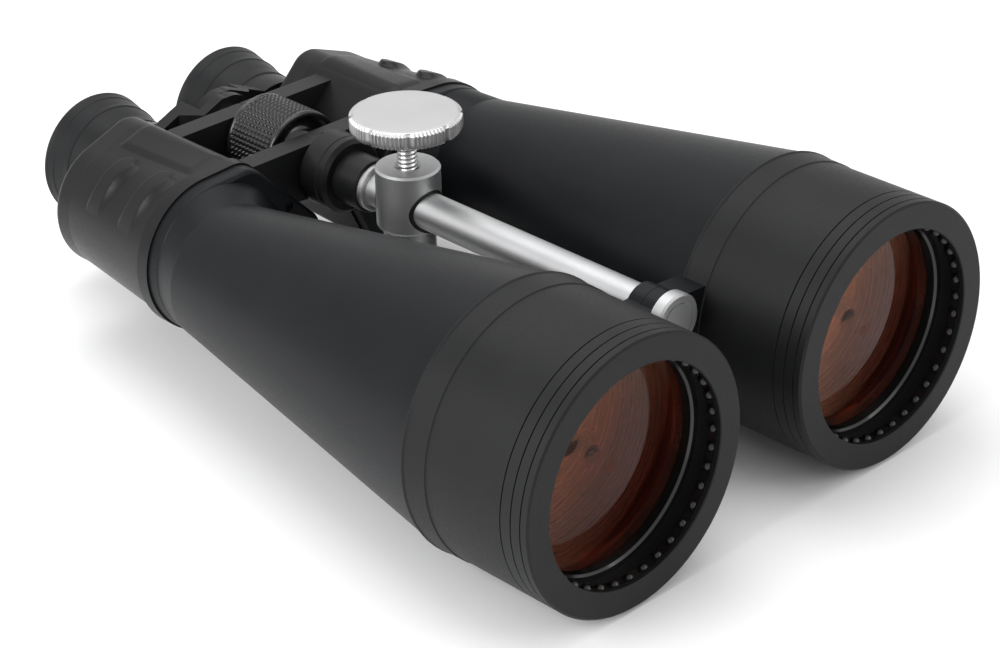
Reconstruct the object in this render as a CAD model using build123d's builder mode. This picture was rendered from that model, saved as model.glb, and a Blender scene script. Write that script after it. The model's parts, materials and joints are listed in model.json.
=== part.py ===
from build123d import *
from math import copysign, hypot, sqrt
import os

os.makedirs("parts", exist_ok=True)

# Large-aperture Porro binoculars, all sizes in millimetres.
# +X is the left half as the user holds it, +Y runs from the objectives to the eyes, +Z is up.
# A "station" is a distance behind the front faces of the two objective bells.

# ---- driving dimensions of the whole ----
TOTAL_LENGTH = 344.0
OBJECTIVE_X = 67.6
EYEPIECE_X = 34.2
EYEPIECE_DROP = 2.0
HINGE_RISE = 16.4
BELL_R = 52.0
BELL_BAND_R = 53.0
FIT = 0.05
GAP = 0.3
EDGE = 0.4
BEVEL = 0.8

FRONT_Y = -TOTAL_LENGTH / 2
AXIS_Z = BELL_BAND_R
HINGE_Z = AXIS_Z + HINGE_RISE
EYE_Z = AXIS_Z - EYEPIECE_DROP

# ---- stations along the tube ----
BEADS_AT = 2.0
CELL_AT = 6.5
LOCK_RING_AT = 12.5
BARREL_AT = 14.0
CELL_BACK = 38.0
BELL_STEP = 48.3
BELL_BACK = 60.0
CONE_BACK = 216.0
BORE_BEND = 74.0
COLLAR_BACK = 219.0
PLATE_AT = 227.0
CASTING_AT = 234.0
ARMOUR_AT = 234.2
COVER_AT = 293.0
COVER_BACK = 303.0
EYECUP_AT = 317.7

# ---- objective end ----
MOUTH_R = 41.6
BEAD_CIRCLE_R = 42.0
BEAD_R = 1.9
BEAD_COUNT = 36
BEAD_RING_R = 44.0
CELL_R = 47.4
CELL_BORE_R = 43.6
LENS_R = 43.5
LOCK_RING_LENGTH = 4.3
CELL_STEP = 3.8
CROWN_FACES = ((17.5, 13.5), (23.5, 27.5))
FLINT_FACES = ((23.55, 27.55), (34.0, 35.5))
CLEAR_R = 40.6
BARREL_FRONT_R = 50.0
CONE_FRONT_R = 52.3
CONE_BACK_R = 27.8
CONE_WALL = 2.6
SPIGOT_R = 25.0
SPIGOT_BORE_R = 22.6
SPIGOT_LENGTH = 8.0
END_WALL = 2.0
LIGHT_BORE_R = 21.6
BAFFLE_BACK = 130.0
BAFFLE_PITCH = 3.0
BAFFLE_DEPTH = 0.9
BAFFLE_WALL = 2.0
GROOVES = (3.6, 8.0, 12.8)
GROOVE_WIDTH = 1.3
GROOVE_DEPTH = 0.8

# ---- prism housing: four circles whose hull is the outline (x, z above the optical axis, r) ----
FRONT_LOBES = ((60.5, 0.0, 31.4), (47.0, 21.5, 10.7), (20.0, -4.0, 9.2), (27.0, -19.0, 9.0))
REAR_LOBES = ((58.5, 0.5, 27.2), (48.5, 21.5, 11.0), (21.0, -4.0, 9.0), (28.0, -17.0, 9.0))
ARMOUR_THICK = 1.5
PLATE_EDGE = 2.0
COVER_EDGE = 3.0
CASTING_WALL = 3.6
FLANGE_WALL = 6.5
FLANGE_LENGTH = 5.0
ARMOUR_LIP = 0.8
ARMOUR_LIP_LENGTH = 6.0
SCREW_HEAD_R = 2.2
SCREW_HEAD_HEIGHT = 1.4
SCREW_R = 1.2
SCREW_LENGTH = 4.0
SCREW_RECESS = 0.5
SCREW_HOLE_LENGTH = 12.0
CROSS_LENGTH = 2.6
CROSS_WIDTH = 0.6
CROSS_DEPTH = 0.8
FRONT_SCREWS = ((26.8, 9.9), (23.5, -22.5))
REAR_SCREWS = ((45.0, 27.2), (81.2, 4.5), (70.0, -19.4), (48.8, -20.3))

# ---- prisms: two right-angle prisms that carry the beam from the objective to the eyepiece axis ----
SHELF_AT = 262.5
SHELF_THICK = 3.0
PRISM_FACE = 15.0
PRISM_WINDOW_R = 7.0
CLIP_WIDTH = 6.0
CLIP_THICK = 0.9
PRISM_TIP = 1.5
CLIP_GAP = 0.1

# ---- central hinge ----
ROD_R = 7.5
ROD_AT = 49.0
ROD_BACK = 206.0
CAP_AT = 44.0
CAP_R = 10.6
CAP_GROOVE_R = 7.3
LUG_R = 9.4
LUG_AT = 49.3
LUG_LENGTH = 6.2
LUG_WEB = ((4.0, 6.0), (24.0, 5.0), (24.0, -10.0), (4.0, -7.0))
ROD_RING_R = 9.56
ROD_RING_LENGTH = 2.5
COLLAR_R = 10.8
HINGE_BARREL_R = 15.5
HINGE_GROOVE_AT = 224.0
SHAFT_R = 6.5
SHAFT_BACK = 289.5
SHAFT_BORE_AT = 212.0
SPINDLE_R = 4.0
HUB_R = 12.2
ARM_ROOT = (41.0, 22.5, 6.0)
ARM_FOOT = (34.0, 12.0, 4.0)
FRONT_ARM_AT = 234.3
REAR_ARM_AT = 276.8
ARM_HUB_LENGTH = 4.5
WHEEL_R = 18.4
WHEEL_AT = 249.0
WHEEL_BACK = 276.0
WHEEL_RIBS = 40
WHEEL_EDGE = 0.9
WHEEL_RIM_R = 15.0
WHEEL_HUB_R = 9.5
WHEEL_DISH = 3.0
RIB_GAP_WIDTH = 1.1
RIB_GAP_DEPTH = 1.2
SPINDLE_AT = 222.0
SPINDLE_BACK = 309.0
SPINDLE_COLLAR_R = 8.0
SPINDLE_COLLAR_LENGTH = 1.7
BRIDGE_CAP_R = 9.0
BRIDGE_CAP_LENGTH = 5.0

# ---- eyepieces ----
CARRIAGE_HUB_AT = 294.3
CARRIAGE_HUB_LENGTH = 5.0
CARRIAGE_AT = 305.5
CARRIAGE_BACK = 311.5
CARRIAGE_RING_R = 22.0
BRIDGE_BAR = ((3.0, 22.8, 5.8), (28.0, 13.0, 5.0))
BRIDGE_SLOPE = (1.5, 6.0)
OCULAR_R = 17.0
OCULAR_BORE_R = 14.6
SLEEVE_R = 13.0
SLEEVE_BORE_R = 11.2
SLEEVE_STOP_R = 9.2
FIELD_GLASS_R = 11.1
OCULAR_AT = 290.0
OCULAR_BACK = 329.0
EYE_GLASS_R = 14.5
FIELD_FACES = ((296.0, 295.0), (299.0, 301.0))
EYE_FACES = ((322.0, 320.0), (325.5, 327.0))
EYE_STOP = 3.0
DIOPTER_R = 22.4
DIOPTER_GAP = 1.5
DIOPTER_RIBS = 48
DIOPTER_RIB_GAP = 0.55
EYECUP_OUTSIDE = (
    (22.0, 317.7), (22.5, 318.3), (22.9, 322.7), (24.6, 330.6), (25.0, 331.0), (25.1, 333.5),
    (25.9, 338.6), (26.2, 339.0), (26.6, 341.5), (27.0, 343.0), (26.6, 344.0),
)
EYECUP_INSIDE = (
    (25.0, 344.0), (24.4, 342.8), (22.6, 334.0), (21.0, 331.6), (13.6, 330.2), (13.6, 329.0),
)

# ---- tripod clamp ----
CLAMP_AT = 186.1
CLAMP_R = 12.84
CLAMP_TOP = 32.2
CLAMP_BOTTOM = 7.0
LINER_R = 8.75
LINER_PROUD = 0.3
POST_R = 10.3
POST_BOTTOM = -38.0
TRIPOD_THREAD_R = 3.175
TRIPOD_THREAD_LENGTH = 12.0
STUD_R = 3.95
STUD_COLLAR_R = 6.2
STUD_COLLAR_HEIGHT = 1.6
STUD_LEAD_IN = 1.6
PAD_HEIGHT = 3.0
KNOB_R = 22.1
KNOB_BOTTOM = 48.0
KNOB_TOP = 54.7
KNOB_NOTCHES = 8
KNOB_NOTCH_R = 2.6
KNOB_NOTCH_OFFSET = 1.6


def save(piece, label):
    """Label a finished sub-part and write its STEP file."""
    piece.part.label = label
    export_step(piece.part, f"parts/{label}.step")


def tube_axis(x, z):
    """Axis along Y through (x, z)."""
    return Axis((x, 0, z), (0, 1, 0))


def tube_plane(x, z):
    """Profile plane through an axis along Y: local x is the radius, local y the station."""
    return Plane(origin=(x, FRONT_Y, z), x_dir=(1, 0, 0), z_dir=(0, 0, 1))


def across(station):
    """Plane across the tubes at a station: local x is +X and local y is +Z."""
    return Plane.XZ.offset(-(FRONT_Y + station))


def outline(points):
    """Closed polygon of (radius, station) or (x, z) points, as a face of the open sketch."""
    with BuildLine() as border:
        Polyline(*points, close=True)
    make_face(border.edges())


def turn(x, z, points):
    """Revolve a (radius, station) polygon about the axis along Y through (x, z)."""
    with BuildSketch(tube_plane(x, z)) as profile:
        outline(points)
    revolve(profile.sketch, axis=tube_axis(x, z))


def drill(x, z, radius, start, stop):
    """Remove a cylinder along Y between two stations."""
    hole = hull_sketch(start, [(x, z, radius)])
    extrude(hole, amount=-(stop - start), mode=Mode.SUBTRACT)


def disc(x, z, radius, start, stop):
    """Add a cylinder along Y between two stations."""
    extrude(hull_sketch(start, [(x, z, radius)]), amount=-(stop - start))


def hull_sketch(station, circles):
    """Sketch at a station: the tight hull of circles given as (x, z, r)."""
    with BuildSketch(across(station)) as section:
        for x, z, r in circles:
            with Locations((x, z)):
                Circle(r)
        if len(circles) > 1:
            make_hull()
    return section.sketch


def lobes(side, circles, inset):
    """Housing outline circles on one side, in place and shrunk by a wall."""
    return [(side * x, AXIS_Z + z, r - inset) for x, z, r in circles]


def housing_block(side, inset, start, stop, mode=Mode.ADD):
    """Tapering housing solid between two stations, its walls inset from the outer skin."""
    front = hull_sketch(start, lobes(side, FRONT_LOBES, inset))
    rear = hull_sketch(stop, lobes(side, REAR_LOBES, inset))
    loft([front, rear], ruled=True, mode=mode)


def straight_block(side, circles, inset, start, stop, mode=Mode.ADD):
    """Housing outline carried straight along Y between two stations."""
    section = hull_sketch(start, lobes(side, circles, inset))
    extrude(section, amount=-(stop - start), mode=mode)


def cone_radius(station):
    """Outer radius of the conical barrel."""
    share = (station - BELL_BACK) / (CONE_BACK - BELL_BACK)
    return CONE_FRONT_R + share * (CONE_BACK_R - CONE_FRONT_R)


def barrel_bore(station):
    """Inner radius of the barrel, straight at the front and conical behind."""
    return min(CELL_R + FIT, cone_radius(station) - CONE_WALL)


# ------------------------------------------------------------------ objective end
def lug_stations(side):
    """Front and back station of one half's hinge ring: the left ring is the front one."""
    start = LUG_AT if side > 0 else LUG_AT + LUG_LENGTH + GAP
    return start, start + LUG_LENGTH


def add_lug_web(side, mode=Mode.ADD):
    """Web from the hinge ring up to the bell, over the length of both rings."""
    with BuildSketch(across(LUG_AT)) as web:
        outline([(side * x, HINGE_Z + z) for x, z in LUG_WEB])
    extrude(web.sketch, amount=-(2 * LUG_LENGTH + GAP), mode=mode)


def make_bell(side, name):
    """Armoured bell around the objective, with fine grooves near its front edge."""
    x = side * OBJECTIVE_X
    with BuildPart() as bell:
        turn(x, AXIS_Z, (
            (MOUTH_R, EDGE),
            (MOUTH_R + EDGE, 0),
            (BELL_R - BEVEL, 0),
            (BELL_R, BEVEL),
            (BELL_R, BELL_STEP),
            (BELL_R + EDGE, BELL_STEP + EDGE),
            (BELL_BAND_R - EDGE, BELL_BACK - 2 * BEVEL),
            (BELL_BAND_R, BELL_BACK - BEVEL),
            (BELL_BAND_R, BELL_BACK - EDGE),
            (BELL_BAND_R - EDGE, BELL_BACK),
            (BARREL_FRONT_R + FIT, BELL_BACK),
            (BARREL_FRONT_R + FIT, BARREL_AT),
            (CELL_R + FIT, BARREL_AT),
            (CELL_R + FIT, CELL_AT),
            (BEAD_RING_R + FIT, CELL_AT),
            (BEAD_RING_R + FIT, BEADS_AT),
            (MOUTH_R, BEADS_AT),
        ))
        for groove in GROOVES:
            with BuildSketch(tube_plane(x, AXIS_Z)):
                outline((
                    (BELL_R - GROOVE_DEPTH, groove),
                    (BELL_BAND_R, groove - GROOVE_WIDTH / 2),
                    (BELL_BAND_R, groove + GROOVE_WIDTH / 2),
                ))
            revolve(axis=tube_axis(x, AXIS_Z), mode=Mode.SUBTRACT)
        add_lug_web(side, mode=Mode.SUBTRACT)
    save(bell, f"{name}_objective_bell")


def make_bead_ring(side, name):
    """Trim ring just inside the mouth, carrying a circle of round beads."""
    x = side * OBJECTIVE_X
    middle = (BEADS_AT + CELL_AT) / 2
    with BuildPart() as ring:
        turn(x, AXIS_Z, (
            (BEAD_CIRCLE_R, BEADS_AT),
            (BEAD_RING_R, BEADS_AT),
            (BEAD_RING_R, CELL_AT),
            (BEAD_CIRCLE_R, CELL_AT),
        ))
        with Locations(Plane(origin=(x, FRONT_Y + middle, AXIS_Z), z_dir=(0, 1, 0))):
            with PolarLocations(BEAD_CIRCLE_R, BEAD_COUNT):
                Sphere(BEAD_R)
    save(ring, f"{name}_bead_ring")


def make_lock_ring(side, name):
    """Threaded ring that holds the objective lenses in their cell."""
    with BuildPart() as ring:
        turn(side * OBJECTIVE_X, AXIS_Z, (
            (CLEAR_R + BEVEL, LOCK_RING_AT),
            (CELL_BORE_R - FIT, LOCK_RING_AT),
            (CELL_BORE_R - FIT, LOCK_RING_AT + LOCK_RING_LENGTH),
            (CLEAR_R, LOCK_RING_AT + LOCK_RING_LENGTH),
            (CLEAR_R, LOCK_RING_AT + BEVEL),
        ))
    save(ring, f"{name}_lens_lock_ring")


def make_cell(side, name):
    """Cell tube that carries the objective doublet inside the barrel's front bore."""
    with BuildPart() as cell:
        turn(side * OBJECTIVE_X, AXIS_Z, (
            (CELL_BORE_R, CELL_AT),
            (CELL_R, CELL_AT),
            (CELL_R, CELL_BACK),
            (CLEAR_R + EDGE, CELL_BACK),
            (CLEAR_R + EDGE, CELL_BACK - CELL_STEP),
            (CELL_BORE_R, CELL_BACK - CELL_STEP),
        ))
    save(cell, f"{name}_objective_cell")


def surface_middle(radius, rim, centre):
    """Point halfway out on a spherical lens surface with the given rim and centre stations."""
    sag = rim - centre
    sphere = (radius ** 2 + sag ** 2) / (2 * abs(sag))
    rise = sphere - sqrt(sphere ** 2 - (radius / 2) ** 2)
    return radius / 2, centre + copysign(rise, sag)


def make_lens(x, z, radius, front, back, label):
    """Turned lens: front and back are each (station at the rim, station at the centre)."""
    with BuildPart() as lens:
        with BuildSketch(tube_plane(x, z)):
            with BuildLine():
                ThreePointArc((0, front[1]), surface_middle(radius, *front), (radius, front[0]))
                Line((radius, front[0]), (radius, back[0]))
                ThreePointArc((radius, back[0]), surface_middle(radius, *back), (0, back[1]))
                Line((0, back[1]), (0, front[1]))
            make_face()
        revolve(axis=tube_axis(x, z))
    save(lens, label)


def make_barrel(side, name):
    """Conical barrel with its straight front sleeve, rear spigot and hinge lug."""
    x = side * OBJECTIVE_X
    start, stop = lug_stations(side)
    other_start, other_stop = lug_stations(-side)
    bore_end = CONE_BACK - END_WALL
    with BuildPart() as barrel:
        turn(x, AXIS_Z, (
            (CELL_R + FIT, BARREL_AT),
            (BARREL_FRONT_R, BARREL_AT),
            (BARREL_FRONT_R, BELL_BACK),
            (CONE_FRONT_R, BELL_BACK),
            (CONE_BACK_R, CONE_BACK),
            (SPIGOT_R, CONE_BACK),
            (SPIGOT_R, CONE_BACK + SPIGOT_LENGTH),
            (SPIGOT_BORE_R, CONE_BACK + SPIGOT_LENGTH),
            (SPIGOT_BORE_R, bore_end),
            (barrel_bore(bore_end), bore_end),
            (barrel_bore(BORE_BEND), BORE_BEND),
        ))
        add_lug_web(side)
        drill(x, AXIS_Z, CELL_R + FIT, BARREL_AT, BORE_BEND)
        drill(0, HINGE_Z, LUG_R + GAP, other_start - GAP, other_stop + GAP)
        disc(0, HINGE_Z, LUG_R, start, stop)
        drill(0, HINGE_Z, ROD_R + FIT, LUG_AT, LUG_AT + 2 * LUG_LENGTH + GAP)
    save(barrel, f"{name}_objective_barrel")


def make_baffle(side, name):
    """Ridged light baffle lining the front half of the barrel."""
    ridges = [(barrel_bore(CELL_BACK) - FIT, CELL_BACK)]
    ridges.append((barrel_bore(BORE_BEND) - FIT, BORE_BEND))
    ridges.append((barrel_bore(BAFFLE_BACK) - FIT, BAFFLE_BACK))
    for i in range(int((BAFFLE_BACK - CELL_BACK) / BAFFLE_PITCH)):
        station = BAFFLE_BACK - i * BAFFLE_PITCH
        inner = barrel_bore(station) - BAFFLE_WALL
        ridges.append((inner - BAFFLE_DEPTH, station))
        ridges.append((inner, station - BAFFLE_PITCH / 2))
    ridges.append((CLEAR_R + BAFFLE_WALL, CELL_BACK))
    with BuildPart() as baffle:
        turn(side * OBJECTIVE_X, AXIS_Z, ridges)
    save(baffle, f"{name}_baffle_tube")


# ------------------------------------------------------------------ prism housing
def screw_holes(side, places, head_face, direction):
    """Counterbored screw holes; direction is +1 for screws driven towards +Y."""
    head_floor = head_face + direction * (SCREW_RECESS + SCREW_HEAD_HEIGHT)
    for x, z in places:
        centre = (side * x, AXIS_Z + z)
        drill(*centre, SCREW_HEAD_R + FIT, min(head_face, head_floor), max(head_face, head_floor))
        end = head_floor + direction * SCREW_HOLE_LENGTH
        drill(*centre, SCREW_R + FIT, min(head_floor, end), max(head_floor, end))


def screw(x, z, head_face, direction, shank):
    """One cross-recess screw with its head sunk below the face it is driven into."""
    top = head_face + direction * SCREW_RECESS
    floor = top + direction * SCREW_HEAD_HEIGHT
    end = floor + direction * shank
    disc(x, z, SCREW_HEAD_R, min(top, floor), max(top, floor))
    disc(x, z, SCREW_R, min(floor, end), max(floor, end))
    with BuildSketch(across(min(top, top + direction * CROSS_DEPTH))) as recess:
        with Locations((x, z)):
            Rectangle(CROSS_LENGTH, CROSS_WIDTH)
            Rectangle(CROSS_WIDTH, CROSS_LENGTH)
    extrude(recess.sketch, amount=-CROSS_DEPTH, mode=Mode.SUBTRACT)


def make_front_plate(side, name):
    """Front cover of the prism housing, flaring out from the socket of the barrel."""
    x = side * OBJECTIVE_X
    lobe_x, lobe_z, lobe_r = FRONT_LOBES[0]
    with BuildPart() as plate:
        straight_block(side, FRONT_LOBES, 0, PLATE_AT, CASTING_AT)
        front_edges = plate.edges().group_by(Axis.Y)[0]
        fillet(front_edges, PLATE_EDGE)
        socket = hull_sketch(CONE_BACK, [(x, AXIS_Z, CONE_BACK_R)])
        flare = hull_sketch(PLATE_AT + PLATE_EDGE, [(side * lobe_x, AXIS_Z + lobe_z, lobe_r - GAP)])
        loft([socket, flare], ruled=True)
        drill(x, AXIS_Z, SPIGOT_R + FIT, CONE_BACK, CONE_BACK + SPIGOT_LENGTH)
        drill(x, AXIS_Z, LIGHT_BORE_R, CONE_BACK + SPIGOT_LENGTH, CASTING_AT)
        screw_holes(side, FRONT_SCREWS, PLATE_AT, 1)
    save(plate, f"{name}_prism_front_plate")


def arm_circles(side):
    """Hull circles of one hinge arm: its hub, its flat-topped root and its lower edge."""
    return [(0, HINGE_Z, HUB_R)] + lobes(side, (ARM_ROOT, ARM_FOOT), 0)


def hub_stations(side, arm_at):
    """Front and back station of one half's hub: the right hub is the front one."""
    start = arm_at if side < 0 else arm_at + ARM_HUB_LENGTH + GAP
    return start, start + ARM_HUB_LENGTH


def add_arm(side, arm_at):
    """Hinge arm over the length of both hubs, relieved around the other half's hub."""
    extrude(hull_sketch(arm_at, arm_circles(side)), amount=-(2 * ARM_HUB_LENGTH + GAP))
    other_start, other_stop = hub_stations(-side, arm_at)
    drill(0, HINGE_Z, HUB_R + GAP, other_start - GAP, other_stop + GAP)
    start, stop = hub_stations(side, arm_at)
    disc(0, HINGE_Z, HUB_R, start, stop)


def make_casting(side, name):
    """Die-cast prism body with end flanges and the two hinge arms."""
    eye_x = side * EYEPIECE_X
    flange_back = COVER_AT - FLANGE_LENGTH
    with BuildPart() as casting:
        housing_block(side, ARMOUR_THICK, CASTING_AT, COVER_AT)
        for arm_at in (FRONT_ARM_AT, REAR_ARM_AT):
            add_arm(side, arm_at)
        straight_block(side, REAR_LOBES, FLANGE_WALL, CASTING_AT, COVER_AT, mode=Mode.SUBTRACT)
        straight_block(side, REAR_LOBES, CASTING_WALL, CASTING_AT + FLANGE_LENGTH, flange_back,
                       mode=Mode.SUBTRACT)
        drill(side * OBJECTIVE_X, AXIS_Z, LIGHT_BORE_R, CASTING_AT, CASTING_AT + FLANGE_LENGTH)
        drill(eye_x, EYE_Z, SLEEVE_R + GAP, flange_back, COVER_AT)
        drill(0, HINGE_Z, SHAFT_R + FIT, CASTING_AT, COVER_AT)
        for x, z in FRONT_SCREWS:
            drill(side * x, AXIS_Z + z, SCREW_R + FIT, CASTING_AT, CASTING_AT + SCREW_LENGTH)
        for x, z in REAR_SCREWS:
            drill(side * x, AXIS_Z + z, SCREW_R + FIT, COVER_AT - SCREW_LENGTH, COVER_AT)
    save(casting, f"{name}_prism_casting")


def make_armour(side, name):
    """Rubber armour skin around the casting, with a raised lip behind its front edge."""
    lip_back = ARMOUR_AT + ARMOUR_LIP_LENGTH
    with BuildPart() as armour:
        housing_block(side, 0, CASTING_AT, COVER_AT)
        straight_block(side, FRONT_LOBES, -ARMOUR_LIP, ARMOUR_AT, lip_back)
        straight_block(side, FRONT_LOBES, -ARMOUR_LIP, CASTING_AT, ARMOUR_AT, mode=Mode.SUBTRACT)
        housing_block(side, ARMOUR_THICK, CASTING_AT, COVER_AT, mode=Mode.SUBTRACT)
        for arm_at in (FRONT_ARM_AT, REAR_ARM_AT):
            arm = hull_sketch(arm_at - FIT, arm_circles(side))
            extrude(arm, amount=-(2 * ARM_HUB_LENGTH + GAP + 2 * FIT), mode=Mode.SUBTRACT)
    save(armour, f"{name}_housing_armour")


def make_rear_cover(side, name):
    """Rear cover of the prism housing with the guide bore of the eyepiece."""
    with BuildPart() as cover:
        straight_block(side, REAR_LOBES, 0, COVER_AT, COVER_BACK)
        fillet(cover.edges().group_by(Axis.Y)[-1], COVER_EDGE)
        drill(side * EYEPIECE_X, EYE_Z, SLEEVE_R + FIT, COVER_AT, COVER_BACK)
        screw_holes(side, REAR_SCREWS, COVER_BACK, -1)
    save(cover, f"{name}_prism_rear_cover")


def make_housing_screws(side, name):
    """The screws that hold the front plate and the rear cover to the casting."""
    front_shank = CASTING_AT - PLATE_AT - SCREW_RECESS - SCREW_HEAD_HEIGHT + SCREW_LENGTH - SCREW_RECESS
    rear_shank = COVER_BACK - COVER_AT - SCREW_RECESS - SCREW_HEAD_HEIGHT + SCREW_LENGTH - SCREW_RECESS
    with BuildPart() as screws:
        for x, z in FRONT_SCREWS:
            screw(side * x, AXIS_Z + z, PLATE_AT, 1, front_shank)
        for x, z in REAR_SCREWS:
            screw(side * x, AXIS_Z + z, COVER_BACK, -1, rear_shank)
    save(screws, f"{name}_housing_screws")


def beam_points():
    """Where the folded beam crosses the shelf: objective axis, between the prisms, eyepiece axis."""
    step_x = EYEPIECE_X - OBJECTIVE_X
    step_z = -EYEPIECE_DROP
    middle = (OBJECTIVE_X + (step_x + step_z) / 2, (step_z - step_x) / 2)
    return (OBJECTIVE_X, 0.0), middle, (EYEPIECE_X, -EYEPIECE_DROP)


def make_shelf(side, name):
    """Shelf plate between the two prisms, with a window wherever the beam crosses it."""
    with BuildPart() as shelf:
        straight_block(side, REAR_LOBES, CASTING_WALL + FIT, SHELF_AT, SHELF_AT + SHELF_THICK)
        for x, z in beam_points():
            drill(side * x, AXIS_Z + z, PRISM_WINDOW_R, SHELF_AT, SHELF_AT + SHELF_THICK)
    save(shelf, f"{name}_prism_shelf")


def prism_plane(side, first, second):
    """Plane square to the shelf through two beam points, with its origin midway between them."""
    dx = side * (second[0] - first[0])
    dz = second[1] - first[1]
    origin = (side * (first[0] + second[0]) / 2, 0, AXIS_Z + (first[1] + second[1]) / 2)
    return Plane(origin=origin, x_dir=(dx, 0, dz), z_dir=(dz, 0, -dx))


def prism_half_base(first, second):
    """Half the long face of a prism that serves two beam points."""
    return (hypot(second[0] - first[0], second[1] - first[1]) + PRISM_FACE) / 2


def make_prism(side, first, second, base_station, direction, label):
    """Right-angle prism whose long face lies on the shelf and spans two beam points."""
    plane = prism_plane(side, first, second)
    half = prism_half_base(first, second)
    up = direction * plane.y_dir.Y
    base = (FRONT_Y + base_station) * plane.y_dir.Y
    with BuildPart() as prism:
        with BuildSketch(plane):
            outline((
                (-half, base),
                (half, base),
                (PRISM_TIP, base + up * (half - PRISM_TIP)),
                (-PRISM_TIP, base + up * (half - PRISM_TIP)),
            ))
        extrude(amount=PRISM_FACE / 2, both=True)
    save(prism, label)


def make_clips(side, name):
    """Spring straps bent over each prism and down to the shelf."""
    start, middle, end = beam_points()
    with BuildPart() as clips:
        for first, second, base_station, direction in (
            (start, middle, SHELF_AT + SHELF_THICK, 1),
            (middle, end, SHELF_AT, -1),
        ):
            plane = prism_plane(side, first, second)
            half = prism_half_base(first, second)
            up = direction * plane.y_dir.Y
            base = (FRONT_Y + base_station) * plane.y_dir.Y
            inner = half + CLIP_GAP
            outer = inner + CLIP_THICK
            with BuildSketch(plane):
                outline((
                    (inner, base),
                    (PRISM_TIP + CLIP_GAP, base + up * (inner - PRISM_TIP)),
                    (-PRISM_TIP - CLIP_GAP, base + up * (inner - PRISM_TIP)),
                    (-inner, base),
                    (-outer, base),
                    (-PRISM_TIP - EDGE, base + up * (outer - PRISM_TIP)),
                    (PRISM_TIP + EDGE, base + up * (outer - PRISM_TIP)),
                    (outer, base),
                ))
            extrude(amount=CLIP_WIDTH / 2, both=True)
    save(clips, f"{name}_prism_clips")


# ------------------------------------------------------------------ eyepieces
def make_bridge_arm(side, name):
    """Arm of the focusing bridge: hub on the spindle, bar set back over the cover, eyepiece ring."""
    eye_x = side * EYEPIECE_X
    start = CARRIAGE_HUB_AT if side < 0 else CARRIAGE_HUB_AT + CARRIAGE_HUB_LENGTH + GAP
    stop = start + CARRIAGE_HUB_LENGTH
    bend = HUB_R + GAP
    ring_back = CARRIAGE_BACK if side < 0 else EYECUP_AT
    with BuildPart() as arm:
        bar = hull_sketch(start, lobes(side, BRIDGE_BAR, 0))
        extrude(bar, amount=-(CARRIAGE_BACK - start))
        with BuildSketch(Plane.XY):
            outline((
                (0, FRONT_Y + start),
                (side * (bend + BRIDGE_SLOPE[0]), FRONT_Y + start),
                (side * (bend + BRIDGE_SLOPE[1]), FRONT_Y + CARRIAGE_AT),
                (side * OBJECTIVE_X, FRONT_Y + CARRIAGE_AT),
                (side * OBJECTIVE_X, FRONT_Y + CARRIAGE_BACK),
                (side * bend, FRONT_Y + CARRIAGE_BACK),
                (side * bend, FRONT_Y + stop),
                (0, FRONT_Y + stop),
            ))
        extrude(amount=2 * HINGE_Z, mode=Mode.INTERSECT)
        drill(0, HINGE_Z, bend, stop, CARRIAGE_BACK)
        disc(0, HINGE_Z, HUB_R, start, stop)
        disc(eye_x, EYE_Z, CARRIAGE_RING_R, CARRIAGE_AT, ring_back)
        drill(eye_x, EYE_Z, OCULAR_R + FIT, CARRIAGE_AT, ring_back)
        drill(0, HINGE_Z, SPINDLE_R + FIT, start, stop)
    save(arm, f"{name}_bridge_arm")


def make_ocular_tube(side, name):
    """Eyepiece tube that slides in the rear cover and carries the eyepiece lenses."""
    with BuildPart() as tube:
        turn(side * EYEPIECE_X, EYE_Z, (
            (SLEEVE_BORE_R, CARRIAGE_AT + EYE_STOP),
            (SLEEVE_BORE_R, OCULAR_AT + EYE_STOP),
            (SLEEVE_STOP_R, OCULAR_AT + EYE_STOP),
            (SLEEVE_STOP_R, OCULAR_AT),
            (SLEEVE_R, OCULAR_AT),
            (SLEEVE_R, CARRIAGE_AT),
            (OCULAR_R, CARRIAGE_AT),
            (OCULAR_R, OCULAR_BACK),
            (SLEEVE_R, OCULAR_BACK),
            (SLEEVE_R, OCULAR_BACK - BEVEL),
            (OCULAR_BORE_R, OCULAR_BACK - BEVEL),
            (OCULAR_BORE_R, CARRIAGE_AT + EYE_STOP),
        ))
    save(tube, f"{name}_ocular_tube")


def make_eyecup(side, name):
    """Flared rubber eyecup with two moulded bands."""
    seat_front = (OCULAR_R + FIT, EYECUP_AT)
    seat_back = (OCULAR_R + FIT, OCULAR_BACK)
    with BuildPart() as cup:
        turn(side * EYEPIECE_X, EYE_Z, (seat_front, *EYECUP_OUTSIDE, *EYECUP_INSIDE, seat_back))
    save(cup, f"{name}_eyecup")


def make_diopter_ring():
    """Ribbed ring between the right bridge ring and its eyecup, which sets the dioptre."""
    x = -EYEPIECE_X
    start = CARRIAGE_BACK + GAP
    stop = EYECUP_AT - DIOPTER_GAP
    with BuildPart() as ring:
        turn(x, EYE_Z, (
            (OCULAR_R + FIT, start),
            (DIOPTER_R - EDGE, start),
            (DIOPTER_R, start + EDGE),
            (DIOPTER_R, stop - EDGE),
            (DIOPTER_R - EDGE, stop),
            (OCULAR_R + FIT, stop),
        ))
        with Locations(Plane(origin=(x, FRONT_Y + (start + stop) / 2, EYE_Z), z_dir=(0, 1, 0))):
            with PolarLocations(DIOPTER_R, DIOPTER_RIBS):
                Cylinder(DIOPTER_RIB_GAP, stop - start, mode=Mode.SUBTRACT)
    save(ring, "diopter_ring")


# ------------------------------------------------------------------ centre line
def make_centre_rod():
    """Bare rod between the two bells that also carries the tripod clamp."""
    with BuildPart() as rod:
        disc(0, HINGE_Z, ROD_R, ROD_AT, ROD_BACK)
    save(rod, "centre_rod")


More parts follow.
